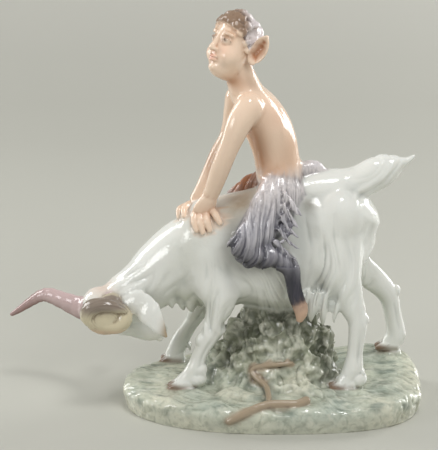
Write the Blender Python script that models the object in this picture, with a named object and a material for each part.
"""Glazed porcelain figure of a faun riding a butting goat, cast in one piece with its oval base.

Metres, +Z up. The origin is the centre of the base's underside. The goat faces -X.
The figure is blocked in as clay masses: lofts, locks and balls. A voxel Remesh fuses them into one
skin, a Smooth softens it as a glaze does, and a Decimate leaves the facets that the solid needs.
"""

import math

import bmesh
import bpy
import numpy as np
from mathutils import Matrix, Vector, noise
from mathutils.bvhtree import BVHTree

FIGURE_HEIGHT = 0.190  # from the ground that the goat stands on to the top of the faun's hair
BASE_LENGTH = 0.152
BASE_WIDTH = 0.095
BASE_THICKNESS = 0.013
BASE_EDGE_ROUND = 0.0045  # how far the top edge of the base is rounded in
BASE_FOOT_INSET = 0.0022  # how far the underside is drawn in under the rim
GROUND_RISE = 0.0062  # how much higher the ground lies behind the far hind hoof
FIGURE_SHIFT = 0.007  # the goat stands this far behind the base's long axis

PARTS_HIGH = 190.0  # the figure is drawn in 190ths of its own height
UNIT = FIGURE_HEIGHT / PARTS_HIGH

CLAY_VOXEL = 1.1
SKIN_VOXEL = 0.8
CLAY_SMOOTHING = 9
SKIN_SMOOTHING = 2
MOST_TRIANGLES = 9300
RING_SIDES = 20
SINK = 3.0  # the base is cast this much too deep, and cut off flat

NEAR, FAR = -1.0, 1.0


# Clay masses

def smooth_curve(rows, steps):
    """Rows of numbers, with steps rows between each two, on a Catmull-Rom curve."""
    rows = np.asarray(rows, float)
    ends = np.vstack([2 * rows[0] - rows[1], rows, 2 * rows[-1] - rows[-2]])
    share = np.linspace(0, 1, steps, endpoint=False)[:, None]
    out = []
    for a, b, c, d in zip(ends[:-3], ends[1:-2], ends[2:-1], ends[3:]):
        out.append(0.5 * (2 * b + (c - a) * share + (2 * a - 5 * b + 4 * c - d) * share**2
                          + (3 * b - a - 3 * c + d) * share**3))
    return np.vstack(out + [rows[-1:]])


def unit(vector):
    return vector / max(np.linalg.norm(vector), 1e-9)


def loft(clay, stations, side=(0, 1, 0), steps=5, sides=RING_SIDES, roundness=1.0):
    """Adds one closed mass. A station is x, y, z, its half width along side, its half depth and, where
    it has one, a twist in degrees. The ends are domes, roundness times as deep as they are wide."""
    rows = smooth_curve([tuple(s) + (0.0,) * (6 - len(s)) for s in stations], steps)
    path, half_side, half_depth = rows[:, :3], np.maximum(rows[:, 3], 0.05), np.maximum(rows[:, 4], 0.05)
    twist = np.radians(rows[:, 5])
    tangent = np.gradient(path, axis=0)
    tangent /= np.maximum(np.linalg.norm(tangent, axis=1), 1e-9)[:, None]
    side = np.asarray(side, float)
    if side.ndim == 1:
        side = np.repeat(side[None], len(path), axis=0)
    else:
        side = smooth_curve(side, steps)
    across = side - (side * tangent).sum(axis=1)[:, None] * tangent
    across /= np.maximum(np.linalg.norm(across, axis=1), 1e-9)[:, None]
    upward = np.cross(tangent, across)
    turn = np.linspace(0, 2 * math.pi, sides, endpoint=False)
    rings = []

    def ring(k, scale, shift):
        s = across[k] * math.cos(twist[k]) + upward[k] * math.sin(twist[k])
        u = upward[k] * math.cos(twist[k]) - across[k] * math.sin(twist[k])
        centre = path[k] + tangent[k] * shift
        return [centre + (s * half_side[k] * math.cos(t) + u * half_depth[k] * math.sin(t)) * scale
                for t in turn]

    dome = [math.radians(a) for a in (72, 48, 24)]
    first_depth = min(half_side[0], half_depth[0]) * roundness
    last_depth = min(half_side[-1], half_depth[-1]) * roundness
    for a in dome:
        rings.append(ring(0, math.cos(a), -first_depth * math.sin(a)))
    for k in range(len(path)):
        rings.append(ring(k, 1.0, 0.0))
    for a in reversed(dome):
        rings.append(ring(-1, math.cos(a), last_depth * math.sin(a)))
    vertices = [[clay.verts.new(p) for p in r] for r in rings]
    first = clay.verts.new(path[0] - tangent[0] * first_depth)
    last = clay.verts.new(path[-1] + tangent[-1] * last_depth)
    for i in range(sides):
        j = (i + 1) % sides
        clay.faces.new((first, vertices[0][j], vertices[0][i]))
        clay.faces.new((last, vertices[-1][i], vertices[-1][j]))
        for a, b in zip(vertices, vertices[1:]):
            clay.faces.new((a[i], a[j], b[j], b[i]))


def ball(clay, centre, radii, turn=None):
    """Adds an ellipsoid with three half axes, turned by a matrix where one is given."""
    radii = (radii,) * 3 if isinstance(radii, (int, float)) else radii
    place = Matrix.Translation(Vector(centre)) @ (turn.to_4x4() if turn else Matrix.Identity(4))
    bmesh.ops.create_icosphere(clay, subdivisions=3, radius=1.0,
                               matrix=place @ Matrix.Diagonal((*radii, 1.0)))


def mirrored(stations, flip):
    return [(s[0], s[1] * flip) + tuple(s[2:]) for s in stations]


# Fusing

def evaluated(mesh, add_modifiers):
    """The mesh with modifiers applied."""
    holder = bpy.data.objects.new("holder", mesh)
    bpy.context.scene.collection.objects.link(holder)
    add_modifiers(holder)
    graph = bpy.context.evaluated_depsgraph_get()
    made = bpy.data.meshes.new_from_object(holder.evaluated_get(graph))
    bpy.data.objects.remove(holder)
    return made


def fused(clay, voxel, smoothing):
    """One skin round all the masses."""
    mesh = bpy.data.meshes.new("clay")
    clay.to_mesh(mesh)

    def modifiers(holder):
        remesh = holder.modifiers.new("fuse", "REMESH")
        remesh.mode = "VOXEL"
        remesh.voxel_size = voxel
        soften = holder.modifiers.new("soften", "SMOOTH")
        soften.factor = 0.5
        soften.iterations = round(smoothing)

    made = evaluated(mesh, modifiers)
    bpy.data.meshes.remove(mesh)
    return made


def points_of(mesh):
    points = np.empty(len(mesh.vertices) * 3, np.float32)
    mesh.vertices.foreach_get("co", points)
    return points.reshape(-1, 3).astype(float)


def set_points(mesh, points):
    mesh.vertices.foreach_set("co", points.astype(np.float32).ravel())
    mesh.update()


def press(mesh, centre, radius, push):
    """Pushes the skin near a centre, most at the middle, as a thumb does."""
    points = points_of(mesh)
    near = np.clip(1 - np.linalg.norm((points - centre) / radius, axis=1) ** 2, 0, 1) ** 2
    set_points(mesh, points + near[:, None] * np.asarray(push, float))


class Surface:
    """The skin that locks are laid on."""

    def __init__(self, mesh):
        self.tree = BVHTree.FromPolygons([v.co for v in mesh.vertices],
                                         [tuple(p.vertices) for p in mesh.polygons])

    def nearest(self, point):
        place, normal, _, _ = self.tree.find_nearest(Vector(point))
        return np.array(place), np.array(normal)


def lay_lock(clay, surface, start, flow, length, width, height, wave=0.0, lift=0.0):
    """A lock of fur that runs along the skin: pointed at both ends, and wavy where wave isn't 0."""
    steps = 7
    point, normal = surface.nearest(start)
    stations, sides = [], []
    for k in range(steps + 1):
        share = k / steps
        full = math.sin(math.pi * min(1.0, 0.12 + share * 0.88) ** 0.75) ** 0.8
        along = np.asarray(flow, float)
        along = unit(along - (along @ normal) * normal)
        across = np.cross(normal, along)
        raised = height * 0.25 * full + lift * share**2
        stations.append((*(point + normal * raised), max(0.12, width * full), max(0.12, height * full)))
        sides.append(across)
        bend = wave * math.cos(share * 2 * math.pi)
        point, normal = surface.nearest(point + unit(along + across * bend) * length / steps)
    loft(clay, stations, side=sides, steps=2, sides=8)


# Goat

TRUNK = [
    (38.5, 0, 89, 17.5, 19.8), (30, 0, 80, 20.5, 29), (16, 0, 71.8, 21.5, 36), (1, 0, 67.8, 21.5, 34.6),
    (-14, 0, 66.8, 20.8, 30), (-28, 0, 64.4, 19.2, 29.2), (-40, 0, 60.9, 17.5, 26.2), (-47, 0, 60, 14.5, 22),
]
NECK = [
    (-34, 0, 66, 18, 22), (-43.5, 0, 63.5, 17, 19), (-54, 0, 56, 15.5, 17), (-64.8, -0.5, 46.8, 13.5, 14.8),
    (-76.8, -2, 39.1, 11.8, 12.8), (-84, -3, 37, 9.8, 10.6),
]
CROUP = [(6, 0, 93, 13, 10), (18, 0, 97.6, 12, 9.6), (32, 0, 99.4, 11, 9)]
TAIL = [
    (32, 0, 99, 9, 8.8), (42, 0, 101, 9, 8.8), (49, 0, 105, 8.6, 8.6), (55, 0, 108, 7.6, 8.4),
    (60.5, 0, 110.3, 5.6, 6.2), (65, 0, 112, 3.4, 3.4), (68.5, 0, 113.8, 2.0, 2.0), (70.6, 0, 115.2, 1.4, 1.4),
]
HIND_THIGH = [
    (33.5, 9, 86, 10.5, 14), (31.5, 12, 72, 9.8, 16), (33, 15, 60, 8.8, 13.8), (37, 17.5, 49, 7.2, 9.5),
    (41, 19.5, 40, 5.6, 6.8),
]
NEAR_HIND_SHANK = [
    (37, -17.5, 49, 7, 9.5), (41, -19.5, 40, 5.4, 6.6), (42.4, -20.5, 34.5, 4.6, 5.2),
    (42, -21, 27, 3.9, 4.5), (41.2, -21, 18, 3.6, 4.2), (40.6, -21, 11, 4.6, 5.2),
    (38.4, -21, 5.6, 4.3, 4.7), (36.2, -21, 2.6, 4.9, 5.2),
]
FAR_HIND_SHANK = [
    (32, 12, 72, 9.5, 15.5), (40, 15.5, 58, 8.5, 11), (49, 18, 47.5, 6.8, 8.4), (57.5, 20, 40, 5.4, 6.2),
    (61.4, 21, 33.5, 4.6, 5.2), (63.2, 21.5, 25, 4.1, 4.7), (65, 22, 17, 4.6, 5.1), (65, 22, 12.4, 4.9, 5.4),
    (62.6, 22, 9.2, 4.8, 5.4),
]
NEAR_FORELEG = [
    (-36, -10, 66, 8.4, 15.5), (-30, -13.5, 55, 8, 13), (-26, -16.5, 45, 6.6, 9.4), (-28, -18.5, 36, 5.2, 6.2),
    (-31.3, -19.5, 28, 4.9, 5.2), (-35, -20, 21, 3.8, 4.1), (-37.4, -20, 15.5, 3.7, 4.1),
    (-39.2, -20, 9.8, 4.5, 5.0), (-42.0, -20, 5.4, 4.2, 4.6), (-44.4, -20, 2.4, 4.9, 5.1),
]
FAR_FORELEG = [
    (-36, 10, 66, 8.4, 15.5), (-32, 13.5, 54, 7.8, 12), (-32, 16, 43, 6.2, 7.6), (-34.5, 18, 34, 5.1, 5.6),
    (-38.5, 19, 26.5, 4.8, 5.1), (-42.8, 20, 18.5, 3.9, 4.1), (-46.6, 21, 11.5, 4.5, 4.9),
    (-49.4, 21, 5.4, 4.6, 4.9), (-50.6, 21, 2.6, 4.9, 5.1),
]
HOOF_LENGTH, HOOF_HALF_WIDTH, HOOF_HEIGHT = 12.5, 2.45, 5.6
HOOVES = [((29.0, -21), math.pi, 0.0), ((54.4, 22), math.pi, 6.4), ((-52.6, -20.4), math.radians(182), 0.0),
          ((-57.4, 21), math.radians(178), 0.0)]
KNEES = [(-36.0, -20.0, 24.6), (-39.8, 19.6, 24.0)]
HOCKS = [(46.2, -20.3, 36.6), (64.4, 20.8, 38.0)]
DEW_CLAWS = [(-35.2, -20.0, 7.6), (44.6, -21.0, 8.6), (-43.0, 21.0, 8.0), (68.4, 22.0, 14.2)]

# The goat's lowered head is turned and tilted towards its near side.
CROWN = np.array([-86.0, -4.0, 38.5])
HEAD_DOWN = unit(np.array([0.81, 0.31, -0.50]))
HEAD_FAR = np.array([-0.45, 0.86, -0.10])
HEAD_FAR = unit(HEAD_FAR - (HEAD_FAR @ HEAD_DOWN) * HEAD_DOWN)
HEAD_OUT = unit(np.cross(HEAD_FAR, HEAD_DOWN))


def on_head(far, down, out):
    return CROWN + HEAD_FAR * far + HEAD_DOWN * down + HEAD_OUT * out


def head_rows(rows):
    return [(*on_head(r[0], r[1], r[2]), *r[3:]) for r in rows]


GOAT_SKULL = [
    (0, -2, 0, 9.4, 8.6), (0, 6, 0.4, 10.4, 10.6), (0, 14, 0.2, 9.6, 10.8), (0, 22, 0.4, 7.4, 8.6),
    (0, 28, 0.5, 6.6, 7.8), (0, 32, 0.3, 6.2, 6.8), (0, 34.5, 0.2, 5.2, 5.4),
]
FAR_HORN = [
    (-82.5, 0, 36.5, 7.4, 5.4), (-91.9, 5, 33.4, 6.9, 4.8), (-98.5, 11, 32.0, 6.1, 4.0),
    (-108.1, 17, 34.0, 4.7, 3.3), (-115.0, 21, 35.4, 3.9, 3.1, 20), (-119.6, 22.6, 34.4, 3.3, 3.0, 50),
    (-124.7, 24, 30.9, 2.8, 2.5, 80), (-131.4, 25, 25.9, 1.9, 1.7, 100), (-135.0, 26, 23.4, 1.2, 1.1, 110),
]
NEAR_CORE = ((-82.5, -17.0, 38.5), (9.8, 8.0, 7.2))
NEAR_BAND = [
    (-89.4, -20.2, 33.6, 4.2, 3.2), (-92.4, -20.8, 38.0, 4.8, 4.2), (-90.6, -21.6, 42.2, 4.8, 4.4),
    (-85.6, -22.4, 44.0, 4.4, 3.8), (-80.4, -23.0, 43.6, 3.8, 3.1), (-76.8, -23.4, 42.4, 2.9, 2.3),
    (-73.6, -23.4, 41.4, 1.4, 1.1),
]
NEAR_LOBE = [
    (-75.6, -19.0, 40.2, 4.4, 3.4), (-74.4, -20.0, 36.4, 5.2, 4.4), (-77.6, -20.6, 33.4, 5.2, 4.6),
    (-83.2, -20.6, 33.2, 4.8, 4.2), (-88.4, -20.2, 35.0, 4.0, 3.4),
]


def near_horn(clay):
    """The near horn curls flat like a snail's shell: a dark band over the top, a pale lobe below it."""
    loft(clay, [(-80, -7, 41.0, 6.6, 5.8), (-81.5, -13, 40.0, 7.2, 6.6), (-82.5, -17, 39.0, 6.4, 6.0)])
    ball(clay, *NEAR_CORE)
    loft(clay, NEAR_LOBE, side=(0, 1, 0), steps=4, sides=16)
    loft(clay, NEAR_BAND, side=(0, 1, 0), steps=4, sides=16)


def hoof(clay, toe, heading, lift=0.0):
    """Two claws side by side, pointing along heading, with the toe at the given x, y."""
    forward = unit(np.array([math.cos(heading), math.sin(heading), 0.0]))
    side = np.array([-forward[1], forward[0], 0.0])
    for s in (NEAR, FAR):
        front = np.array([toe[0], toe[1], lift]) + side * s * (HOOF_HALF_WIDTH * 0.92)
        rows = []
        for share, high, wide in ((0.06, 0.32, 0.62), (0.3, 0.62, 0.95), (0.6, 0.95, 1.05), (0.9, 1.0, 0.95)):
            centre = front - forward * HOOF_LENGTH * share
            half = HOOF_HEIGHT * high / 2
            rows.append((centre[0], centre[1], lift + half - 0.4, HOOF_HALF_WIDTH * wide, half + 0.5))
        loft(clay, rows, side=side, steps=3, sides=12, roundness=0.7)


def goat(clay):
    loft(clay, TRUNK, roundness=0.6)
    loft(clay, NECK)
    loft(clay, CROUP)
    loft(clay, TAIL)
    loft(clay, mirrored(HIND_THIGH, NEAR))
    loft(clay, NEAR_HIND_SHANK)
    loft(clay, FAR_HIND_SHANK)
    loft(clay, NEAR_FORELEG)
    loft(clay, FAR_FORELEG)
    loft(clay, head_rows(GOAT_SKULL), side=HEAD_FAR)
    ball(clay, on_head(0, 15, -8), (8.5, 7.5, 7.5))
    for s in (NEAR, FAR):
        ball(clay, (-33, s * 12, 62), (11, 8, 15))
        ball(clay, (33.5, s * 11, 84), (13.5, 10.5, 16))


def joints(clay):
    """Knee caps and hock points, and the two dew claws at the back of each foot."""
    for x, y, z in KNEES:
        ball(clay, (x, y, z), (3.0, 3.4, 4.4))
    for x, y, z in HOCKS:
        ball(clay, (x, y, z), (2.6, 2.7, 3.4))
    for x, y, z in DEW_CLAWS:
        for s in (NEAR, FAR):
            loft(clay, [(x - 0.8, y + 2.0 * s, z + 1.8, 1.2, 1.2), (x + 0.6, y + 2.2 * s, z, 1.3, 1.3),
                        (x + 0.9, y + 2.2 * s, z - 1.6, 0.7, 0.7)], side=(0, 1, 0), steps=3, sides=8)


def goat_details(clay):
    loft(clay, FAR_HORN, side=(0, 0, 1), steps=4, sides=16)
    near_horn(clay)
    for s in (NEAR, FAR):
        goat_ear(clay, s)
        ball(clay, on_head(8.4 * s, 12.5, 4.6), 1.9)
        ball(clay, on_head(7.6 * s, 10.6, 6.4), (3.2, 2.2, 2.0))
        ball(clay, on_head(2.3 * s, 35.6, 4.0), (1.7, 1.7, 1.3))
    loft(clay, head_rows([(0, 32.0, -3.8, 3.8, 1.8), (0, 36.2, -2.8, 3.4, 1.5)]), side=HEAD_FAR, sides=10)
    for toe, heading, lift in HOOVES:
        hoof(clay, toe, heading, lift)
    joints(clay)


EAR = [(-11.0, 4.0, -5.5, 3.6, 3.0), (-17.0, 7.0, -8.0, 5.8, 2.6), (-22.5, 11.0, -7.5, 7.0, 2.0),
       (-27.0, 15.5, -4.5, 6.4, 1.7), (-29.6, 20.5, -1.0, 4.2, 1.4), (-31.2, 25.5, 2.2, 1.3, 0.9)]


def goat_ear(clay, flip):
    """A broad drooping leaf that hangs from behind the horn."""
    rows = [(-flip * r[0], *r[1:]) for r in EAR]
    side = HEAD_OUT * 0.82 - HEAD_DOWN * 0.28 - flip * HEAD_FAR * 0.5
    loft(clay, head_rows(rows), side=side, steps=4, sides=14, roundness=0.6)


# Faun

TORSO = [
    (5, 0, 95, 16, 13), (3.6, 0, 104, 15, 12.2), (2.2, 0, 113, 12.8, 11.6), (0.4, 0, 122, 13.6, 12.0),
    (-3.2, 0, 131, 15.6, 12.0), (-7.8, 0, 139, 16.4, 11.0), (-11.6, 0, 145.3, 13.8, 8.8),
    (-13.6, 0, 150.5, 9, 7.6),
]
FAUN_NECK = [(-13, 0, 147, 9.4, 8.8), (-15.6, -1, 153.5, 8.2, 7.8), (-17.2, -2, 160, 7.9, 7.7)]
NEAR_ARM = [
    (-12, -13.8, 143, 6.8, 7.4), (-15.8, -16.4, 138.2, 6.2, 6.8), (-18.4, -17.5, 133, 5.7, 6.2),
    (-20.9, -17.5, 126.6, 5.0, 5.4), (-23.5, -16.5, 120, 4.9, 5.1), (-26.6, -14.5, 111.4, 4.7, 5.0),
    (-29.8, -11.5, 101.4, 4.0, 4.4), (-32.2, -9, 95.4, 3.5, 4.2),
]
FAR_ARM = [
    (-16.6, 13.4, 142, 6.8, 7.6), (-18.3, 15.8, 134.5, 6.0, 6.6), (-19.8, 17, 127, 5.4, 5.8),
    (-22.2, 17.4, 119.4, 5.0, 5.3), (-26.4, 16.4, 112.3, 4.9, 5.2), (-30.6, 14, 104, 4.3, 4.7),
    (-34.9, 11, 95.6, 3.7, 4.2), (-38.2, 8.6, 89.8, 3.4, 4.1),
]
THIGH = [
    (5, 9, 99, 9.5, 12.5), (0, 15, 93, 9, 11.6), (-6, 20, 85.5, 8.4, 10.6), (-11.5, 23, 78, 7.6, 9.4),
    (-14.5, 24.4, 72, 6.8, 8.2),
]
SHIN = [
    (-12.5, 24.4, 71.5, 6.6, 7.6), (-5, 25.4, 70.4, 6.2, 6.6), (2.5, 26, 68.6, 5.4, 5.8),
    (8.2, 26, 64.6, 4.6, 5.0), (9.8, 26, 57.5, 4.0, 4.3), (11.2, 26, 50.5, 3.8, 4.2), (13, 26, 44.6, 3.6, 3.9),
]
FAUN_HOOF = [(13.2, 26, 45, 3.6, 3.9), (13.8, 26, 41.2, 3.3, 3.4), (13.0, 26, 37.4, 1.9, 1.8)]
FAUN_TAIL = [(10, 0, 103, 5.5, 7), (16.5, 0, 107.4, 5, 5.4), (21.0, 0, 108.6, 4.2, 4.4), (25.4, 0, 106.4, 2.4, 2.6)]

# The faun's head looks ahead of the goat, a little up and a little to its near side.
FACE_YAW, FACE_PITCH = math.radians(34), math.radians(22)
FACE_CENTRE = np.array([-18.5, -3.0, 171.9])
FACE_AHEAD = np.array([-math.cos(FACE_YAW) * math.cos(FACE_PITCH),
                       -math.sin(FACE_YAW) * math.cos(FACE_PITCH), math.sin(FACE_PITCH)])
FACE_FAR = unit(np.cross(FACE_AHEAD, (0, 0, 1)))
FACE_UP = np.cross(FACE_FAR, FACE_AHEAD)


def on_face(ahead, far, up):
    return FACE_CENTRE + FACE_AHEAD * ahead + FACE_FAR * far + FACE_UP * up


def face_rows(rows):
    return [(*on_face(r[0], r[1], r[2]), *r[3:]) for r in rows]


FACE_TURN = Matrix((FACE_AHEAD, FACE_FAR, FACE_UP)).transposed()


HEAD_HIGH = 33.0
EYE_OUT = HEAD_HIGH * 0.155  # from the middle of the face to the middle of an eye
NOSE_DOWN = HEAD_HIGH * 0.17
MOUTH_DOWN = HEAD_HIGH * 0.285


def faun_head(clay):
    """Skull, jaw and cheeks on the plain proportions of a young head: the eyes lie at half its height."""
    ball(clay, on_face(-1.0, 0, 3.6), (12.8, 11.2, 12.2), FACE_TURN)
    loft(clay, face_rows([(2.6, 0, 5, 10.4, 9.2), (3.0, 0, -3, 10.3, 9.0), (3.8, 0, -9.5, 9.2, 8.2),
                          (5.6, 0, -14, 6.4, 5.6)]), side=FACE_FAR, roundness=0.7)
    ball(clay, on_face(1.2, 0, -14.0), (5.8, 6.0, 4.6), FACE_TURN)
    for s in (NEAR, FAR):
        ball(clay, on_face(5.8, 5.4 * s, -6.6), (5.6, 5.4, 5.8), FACE_TURN)


def faun_face(clay):
    loft(clay, face_rows([(11.4, 0, 1.5, 1.7, 1.6), (12.7, 0, 1.2 - NOSE_DOWN * 0.55, 1.6, 1.6),
                          (13.9, 0, 0.6 - NOSE_DOWN, 2.1, 1.7)]), side=FACE_FAR, sides=10)
    for s in (NEAR, FAR):
        ball(clay, on_face(9.2, EYE_OUT * s, 0), (2.6, 2.9, 2.5), FACE_TURN)
        ball(clay, on_face(12.2, 2.0 * s, 0.4 - NOSE_DOWN), 1.3)
        faun_ear(clay, s)
    lip = [(10.2, -3.5), (11.8, -1.7), (12.3, 0.0), (11.8, 1.7), (10.2, 3.5)]
    loft(clay, face_rows([(a, f, 0.9 - MOUTH_DOWN, 1.0, 0.8) for a, f in lip]), side=FACE_UP, sides=8)
    loft(clay, face_rows([(a - 0.2, f * 0.85, -0.9 - MOUTH_DOWN, 1.0, 1.0) for a, f in lip]), side=FACE_UP,
         sides=8)


def ear_frame(flip):
    """Root of the ear, the way it rises, the way it opens, and the way it is wide."""
    rise = unit(FACE_UP * 0.92 + FACE_FAR * flip * 0.39)
    opening = unit(FACE_AHEAD * 0.72 + FACE_FAR * flip * 0.69)
    opening = unit(opening - (opening @ rise) * rise)
    return on_face(-3.7, 11.2 * flip, -6.0), rise, opening, np.cross(rise, opening)


EAR_LEAF = ((0, 1.8, 1.6), (4, 3.9, 1.7), (8.5, 4.3, 1.5), (12.5, 3.0, 1.3), (15.6, 0.8, 0.7))


def faun_ear(clay, flip):
    """A pointed ear that stands up from the side of the head, open towards the front and side."""
    root, rise, opening, wide = ear_frame(flip)
    rows = [(*(root + rise * d), w, t) for d, w, t in EAR_LEAF]
    loft(clay, rows, side=wide, steps=4, sides=14, roundness=0.7)


def faun_hair(clay):
    """Short curls along the brow, and small tufts all over the skull."""
    golden = math.pi * (3 - math.sqrt(5))
    for k in range(60):
        height = 1 - 1.45 * (k + 0.5) / 60
        round_ = math.sqrt(1 - height * height)
        a, f = round_ * math.cos(golden * k), round_ * math.sin(golden * k)
        if a > 0.35 and height < 0.55 or a > 0.0 and height < 0.15:
            continue
        ball(clay, on_face(-1.0 + 12.4 * a, 10.9 * f, 3.6 + 12.0 * height), (2.4, 2.4, 2.2), FACE_TURN)
    for k in range(8):
        far = (k / 7 - 0.5) * 18.5
        sag = (far / 10) ** 2 * 5.0
        ball(clay, on_face(10.2 - sag * 0.7, far, 12.6 - sag), (2.5, 2.1, 2.3), FACE_TURN)
        ball(clay, on_face(6.8 - sag * 0.7, far * 0.95, 15.4 - sag), (2.4, 2.2, 2.0), FACE_TURN)


def faun(clay):
    loft(clay, TORSO)
    loft(clay, FAUN_NECK)
    loft(clay, NEAR_ARM)
    loft(clay, FAR_ARM)
    for s in (NEAR, FAR):
        loft(clay, mirrored(THIGH, s))
        loft(clay, mirrored(SHIN, s))
    loft(clay, FAUN_TAIL)
    faun_head(clay)


def finger(clay, knuckle, tip, radius):
    knuckle, tip = np.asarray(knuckle, float), np.asarray(tip, float)
    middle = (knuckle + tip) / 2 + np.array([0, np.sign(tip[1]) * 0.6, 1.3])
    loft(clay, [(*knuckle, radius, radius), (*middle, radius * 0.98, radius * 0.98),
                (*tip, radius * 0.8, radius * 0.8)], side=(1, 0, 0), steps=4, sides=8)


NEAR_TIPS = ((-39.4, -40.6, -11.6, 79.8), (-37.1, -37.6, -14.2, 77.6), (-34.6, -34.4, -14.8, 77.4),
             (-32.1, -31.4, -14.2, 78.6), (-29.8, -27.6, -12.6, 82.8))
FAR_TIPS = ((-46.4, -49.2, 9.8, 77.8), (-44.4, -46.6, 12.4, 76.2), (-42.2, -43.6, 13.2, 76.8), (-40.0, -40.6, 12.8, 78.4))


def hands(clay):
    loft(clay, [(-32.2, -9.0, 97.5, 4.1, 3.2), (-34.2, -7.2, 92.0, 5.4, 2.7), (-34.8, -7.8, 88.0, 5.6, 2.3)],
         side=(1, 0, 0.1), steps=4, sides=14)
    for knuckle_x, tip_x, tip_y, tip_z in NEAR_TIPS:
        finger(clay, (knuckle_x, -7.6, 87.4), (tip_x, tip_y, tip_z), 1.5)
    loft(clay, [(-38.2, 8.6, 91.5, 4.0, 3.2), (-41.6, 7.2, 88.0, 5.0, 2.7), (-43.2, 7.4, 85.0, 5.2, 2.3)],
         side=(1, 0, 0.6), steps=4, sides=14)
    for knuckle_x, tip_x, tip_y, tip_z in FAR_TIPS:
        finger(clay, (knuckle_x, 7.6, 85.0), (tip_x, tip_y, tip_z), 1.5)
    finger(clay, (-43.0, 4.0, 87.0), (-47.4, -0.6, 82.6), 1.5)


# Fur

def tuft(clay, root, tip, bow, width, thick, side=(0, 1, 0)):
    """A pointed lock that stands free of the skin, and bows sideways by bow on its way."""
    root, tip = np.asarray(root, float), np.asarray(tip, float)
    middle = (root + tip) / 2 + np.asarray(bow, float)
    rows = []
    for k in range(7):
        t = k / 6
        point = root * (1 - t) ** 2 + middle * 2 * t * (1 - t) + tip * t * t
        full = (1 - t) ** 0.75 * (0.75 + 0.9 * t)
        rows.append((*point, max(0.25, thick * full), max(0.25, width * full)))
    loft(clay, rows, side=side, steps=2, sides=10, roundness=0.5)


KNEE_TUFTS = [
    ((-18.0, 26.5, 82.0), (-23.2, 25.5, 74.6), (-1.5, 1, 0), 2.6, 2.2),
    ((-16.0, 28.0, 80.0), (-20.6, 28.5, 71.2), (-0.5, 1.5, 0), 2.6, 2.2),
    ((-12.5, 28.0, 78.0), (-15.0, 29.5, 66.2), (-1.5, 1.5, 0), 2.9, 2.4),
    ((-8.0, 28.0, 77.0), (-10.6, 28.5, 67.6), (1.0, 1.5, 0), 2.6, 2.2),
    ((-4.5, 27.5, 76.0), (-5.6, 29.0, 64.4), (-1.6, 1.5, 0), 2.7, 2.3),
]
REAR_TUFTS = [
    ((5.0, 19.5, 101.0), (13.6, 25.0, 91.0), (1.5, 0, -4.0), 2.4, 2.2),
    ((4.4, 22.0, 96.0), (11.8, 27.0, 85.4), (1.0, 0.5, -4.0), 2.5, 2.3),
    ((3.6, 24.5, 91.0), (12.4, 28.0, 80.6), (0.5, 0.5, -4.5), 2.6, 2.4),
    ((2.6, 26.0, 85.0), (13.0, 28.0, 74.8), (0.5, 0.5, -4.5), 2.7, 2.4),
    ((1.0, 26.5, 79.0), (11.6, 28.5, 69.6), (0.5, 0.8, -3.5), 2.5, 2.2),
]
SKIRT_TUFTS = [
    ((18.0, 18.0, 50.0), (12.5, 17.5, 36.0), (-2.5, 1.5, 0), 3.6, 3.2),
    ((23.0, 19.5, 50.0), (19.0, 18.5, 33.5), (-2.0, 1.5, 0), 3.8, 3.4),
    ((28.0, 20.0, 50.0), (25.0, 19.5, 32.0), (-2.0, 1.5, 0), 3.8, 3.2),
    ((33.0, 20.0, 48.0), (30.5, 20.5, 33.5), (-1.5, 1.5, 0), 3.4, 3.0),
]
CHEST_TUFTS = [
    ((-41.0, 7.0, 45.0), (-39.6, 8.0, 34.6), (-1.5, 0, 0), 4.4, 4.2),
    ((-46.0, 5.0, 46.0), (-44.6, 5.5, 35.8), (-1.5, 0, 0), 4.4, 4.2),
    ((-51.0, 7.0, 47.0), (-50.2, 7.5, 36.8), (-1.0, 0, 0), 4.2, 4.0),
]


def tufts(clay, rows, flip):
    for root, tip, bow, width, thick in rows:
        root, tip, bow = (tuple(np.multiply(v, (1, flip, 1))) for v in (root, tip, bow))
        tuft(clay, root, tip, bow, width, thick)


def goat_fur(clay, surface):
    """Long wavy locks down the hips and flanks, a shaggy hem below them, and locks along the tail."""
    for s in (NEAR, FAR):
        for row in range(3):
            for k in range(5):
                x = 22 + 6.2 * k - 2.6 * row
                lay_lock(clay, surface, (x, s * 26, 95 - 21 * row), (-0.16 + 0.02 * k, 0, -1), 27,
                         2.9, 2.1, wave=0.35 * (-1) ** k)
        for k in range(4):
            lay_lock(clay, surface, (-50 + 8 * k, s * 20, 56 - 2.4 * k), (0.12, 0, -1), 17, 2.6, 1.5, wave=0.25)
        tufts(clay, SKIRT_TUFTS, s)
        tufts(clay, CHEST_TUFTS, s)
    for k in range(6):
        lay_lock(clay, surface, (46 + 3.2 * k, 5.0 * (-1) ** k, 100 + 2.0 * k), (0.75, 0, 0.2), 13, 2.0, 1.5,
                 wave=0.3)


def faun_fur(clay, surface):
    """Long locks that fan down the thighs, and tufts that stand free behind the thigh and at the knee."""
    for s in (NEAR, FAR):
        for k in range(6):
            lean = -0.62 + 0.13 * k
            lay_lock(clay, surface, (-3 + 2.6 * k, s * 30, 103 - 1.5 * (5 - k)), (lean, 0, -1), 24, 2.1, 1.7,
                     wave=0.25)
            lay_lock(clay, surface, (-9 + 2.8 * k, s * 30, 91 - 1.2 * (5 - k)), (lean * 0.6, 0, -1), 20, 2.1, 1.7,
                     wave=0.25)
        tufts(clay, KNEE_TUFTS, s)
        tufts(clay, REAR_TUFTS, s)


# Base

def ground_height(x, y):
    """How high the modelled ground lies over the base's own flat top, in parts."""
    rise = GROUND_RISE / UNIT
    back_right = 1 / (1 + math.exp(-(x - 42) / 9)) / (1 + math.exp(-(y - 6) / 7))
    ripple = 0.45 * math.sin(0.23 * x + 1.3) * math.cos(0.31 * y - 0.4)
    return rise * back_right + ripple


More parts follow.
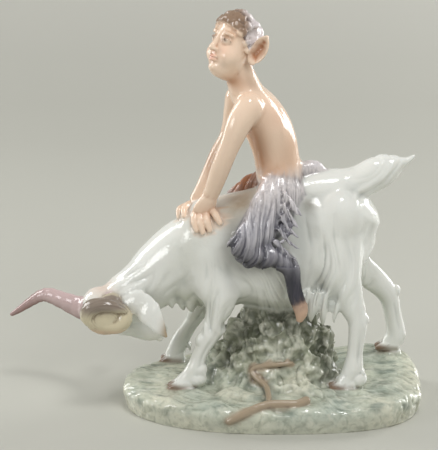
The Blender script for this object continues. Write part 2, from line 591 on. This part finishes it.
LEFT_SQUARENESS, NEAR_RIGHT_SQUARENESS, FAR_RIGHT_SQUARENESS = 2.15, 2.7, 4.2  # 2 is an ellipse


def base(clay):
    """The oval base, a little squarer than an ellipse, with a rounded rim and an uneven top."""
    half_length, half_width = BASE_LENGTH / UNIT / 2, BASE_WIDTH / UNIT / 2
    thick, edge, foot = BASE_THICKNESS / UNIT, BASE_EDGE_ROUND / UNIT, BASE_FOOT_INSET / UNIT
    shift = FIGURE_SHIFT / UNIT
    rings = [(-thick - SINK, foot), (-thick, foot), (-thick * 0.72, 0.35 * foot), (-thick * 0.4, 0.0)]
    for a in (15, 35, 55, 75, 90):
        rings.append((-edge * (1 - math.sin(math.radians(a))), edge * (1 - math.cos(math.radians(a)))))
    for inset in (12, 20, 29, 38):
        rings.append((0.0, inset))
    sides = 96
    loops = []
    for z, inset in rings:
        loop = []
        for i in range(sides):
            a = 2 * math.pi * i / sides
            c, s = math.cos(a), math.sin(a)
            right = NEAR_RIGHT_SQUARENESS if s < 0 else FAR_RIGHT_SQUARENESS
            squareness = 2 / (right if c > 0 else LEFT_SQUARENESS)
            x = math.copysign(abs(c) ** squareness, c) * (half_length - inset)
            y = math.copysign(abs(s) ** squareness, s) * (half_width - inset)
            raised = ground_height(x, y - shift) * min(1.0, max(0.0, 1 + z / edge))
            loop.append(clay.verts.new((x, y - shift, z + raised)))
        loops.append(loop)
    bottom = clay.verts.new((0, -shift, -thick - SINK))
    top = clay.verts.new((0, -shift, ground_height(0, -shift)))
    for i in range(sides):
        j = (i + 1) % sides
        clay.faces.new((bottom, loops[0][j], loops[0][i]))
        clay.faces.new((top, loops[-1][i], loops[-1][j]))
        for a, b in zip(loops, loops[1:]):
            clay.faces.new((a[i], a[j], b[j], b[i]))


MOUND = [
    (2, -3, -6, 33, 43), (2, -3, -1.6, 30, 40), (2, -3, 1.2, 26.5, 36.5), (2.5, -3, 4.4, 23.5, 33.5),
    (3, -3, 9, 20.5, 31), (3.5, -2.5, 14, 18, 28.5), (4, -2, 20, 15.5, 25.5), (4, -1, 27, 13, 21.5),
    (3, 0, 35, 11, 18), (2, 0, 46, 9, 14),
]
BOULDERS = [
    (-18, -8, 12, 9, 8, 9), (-10, -13, 18, 8, 6, 8), (1, -16, 10, 10, 7, 8), (10, -13, 20, 9, 6, 8),
    (20, -14, 9, 9, 8, 9), (24, -6, 22, 7, 7, 9), (-19, -4, 24, 7, 6, 7), (2, -12, 28, 8, 5, 6),
    (-25, 2, 10, 8, 8, 8), (24, 10, 12, 9, 8, 10), (0, 15, 14, 12, 7, 11), (-12, 13, 22, 8, 7, 8),
    (14, 13, 25, 8, 7, 8), (14, -27, 1.0, 12, 5, 3.2), (24, -30, 0.2, 9, 5, 2.6), (-20, -30, 0.2, 9, 6, 2.4),
    (-33, -8, 1.0, 8, 7, 3.0), (-10, -34, 0, 7, 5, 2.0),
]
BRANCH = [
    [(-22.0, -52.2, -6.0, 1.9, 2.0), (-15.5, -52.4, -2.8, 2.2, 2.2), (-9.0, -50.8, -0.2, 2.3, 2.2),
     (-2.4, -48.4, 1.0, 2.4, 2.3), (5.0, -47.6, 0.9, 2.4, 2.3), (11.5, -47.2, 0.7, 2.5, 2.4),
     (16.0, -43.8, 1.6, 2.2, 2.5)],
    [(-2.4, -46.8, 1.2, 2.0, 1.8), (-2.3, -41.5, 1.4, 1.8, 1.7), (-2.6, -35.0, 2.4, 1.6, 1.5),
     (-3.5, -29.8, 3.8, 1.5, 1.5), (-6.5, -26.2, 5.4, 1.5, 1.4), (-9.4, -23.6, 7.4, 1.5, 1.4),
     (-10.2, -21.8, 9.4, 1.4, 1.4), (-7.6, -21.6, 11.0, 1.4, 1.3), (-3.0, -22.4, 12.2, 1.3, 1.3),
     (3.0, -22.8, 12.8, 1.2, 1.1), (9.6, -22.2, 13.4, 1.0, 0.9)],
]


def rocks(clay):
    loft(clay, MOUND)
    for x, y, z, rx, ry, rz in BOULDERS:
        ball(clay, (x, y, z), (rx, ry, rz))


def roughen(mesh):
    """Makes the mound craggy and, more gently, the ground uneven."""
    points = points_of(mesh)
    normals = np.array([v.normal for v in mesh.vertices])
    reach = np.hypot((points[:, 0] - 3) / 42, (points[:, 1] + 3) / 31)
    heavy = np.clip((1.0 - reach) / 0.22, 0, 1)
    heavy *= np.clip((36 - points[:, 2]) / 5, 0, 1) * np.clip((points[:, 2] + 2) / 4, 0, 1)
    light = np.clip((3.0 - points[:, 2]) / 2, 0, 1) * np.clip((points[:, 2] + 3.0) / 3, 0, 1)
    for k in np.nonzero(np.maximum(heavy, light) > 0.01)[0]:
        place = Vector(points[k])
        crag = 0.32 - abs(noise.noise(place / 8.5)) * 1.6
        rough = crag * 3.4 + noise.noise(place / 3.8) * 1.6
        points[k] += normals[k] * rough * max(heavy[k], 0.2 * light[k])
    set_points(mesh, points)


def branch(clay):
    for rows in BRANCH:
        loft(clay, rows, side=(0, 0, 1), steps=4, sides=10)


# Assembly

def shaped():
    """The whole figure as one fine skin, in parts."""
    clay = bmesh.new()
    goat(clay)
    faun(clay)
    base(clay)
    rocks(clay)
    body = fused(clay, CLAY_VOXEL, CLAY_SMOOTHING)
    clay.free()
    roughen(body)
    for s in (NEAR, FAR):
        press(body, on_face(11.2, EYE_OUT * s, 0), (4.2, 4.2, 3.8), -FACE_AHEAD * 1.8)
    surface = Surface(body)
    clay = bmesh.new()
    clay.from_mesh(body)
    base(clay)
    goat_details(clay)
    faun_face(clay)
    faun_hair(clay)
    hands(clay)
    for s in (NEAR, FAR):
        loft(clay, mirrored(FAUN_HOOF, s), steps=3, sides=12, roundness=0.6)
    goat_fur(clay, surface)
    faun_fur(clay, surface)
    branch(clay)
    skin = fused(clay, SKIN_VOXEL, SKIN_SMOOTHING)
    clay.free()
    return skin


def decimated(mesh, most):
    triangles = sum(len(p.vertices) - 2 for p in mesh.polygons)

    def modifiers(holder):
        thin = holder.modifiers.new("facets", "DECIMATE")
        thin.ratio = most / triangles
        thin.use_collapse_triangulate = True

    return evaluated(mesh, modifiers)


def cut_flat(mesh, height):
    """Cuts the base off flat at a height and closes it with one face. Only the largest body stays."""
    clay = bmesh.new()
    clay.from_mesh(mesh)
    clay.verts.ensure_lookup_table()
    loose, bodies = set(clay.verts), []
    while loose:
        stack, body = [loose.pop()], []
        while stack:
            vertex = stack.pop()
            body.append(vertex)
            for edge in vertex.link_edges:
                other = edge.other_vert(vertex)
                if other in loose:
                    loose.remove(other)
                    stack.append(other)
        bodies.append(body)
    bodies.sort(key=len)
    for body in bodies[:-1]:
        bmesh.ops.delete(clay, geom=body, context="VERTS")
    cut = bmesh.ops.bisect_plane(clay, geom=clay.verts[:] + clay.edges[:] + clay.faces[:], dist=1e-5,
                                 plane_co=(0, 0, height), plane_no=(0, 0, -1), clear_outer=True)
    rim = [e for e in cut["geom_cut"] if isinstance(e, bmesh.types.BMEdge)]
    bmesh.ops.contextual_create(clay, geom=rim)
    bmesh.ops.recalc_face_normals(clay, faces=clay.faces[:])
    clay.to_mesh(mesh)
    clay.free()


def porcelain():
    material = bpy.data.materials.new("glazed_porcelain")
    material.use_nodes = True
    shader = material.node_tree.nodes["Principled BSDF"]
    shader.inputs["Base Color"].default_value = (0.80, 0.80, 0.76, 1)
    shader.inputs["Roughness"].default_value = 0.12
    shader.inputs["Metallic"].default_value = 0.0
    return material


def main():
    for thing in list(bpy.data.objects):
        bpy.data.objects.remove(thing)
    figure = decimated(shaped(), MOST_TRIANGLES)
    cut_flat(figure, -BASE_THICKNESS / UNIT)
    figure.transform(Matrix.Translation((0, FIGURE_SHIFT, BASE_THICKNESS)) @ Matrix.Scale(UNIT, 4))
    figure.name = "faun_on_goat"
    figure.materials.clear()
    figure.materials.append(porcelain())
    figure.shade_smooth()
    figure.set_sharp_from_angle(angle=math.radians(50))
    statue = bpy.data.objects.new("faun_on_goat", figure)
    bpy.context.scene.collection.objects.link(statue)


main()
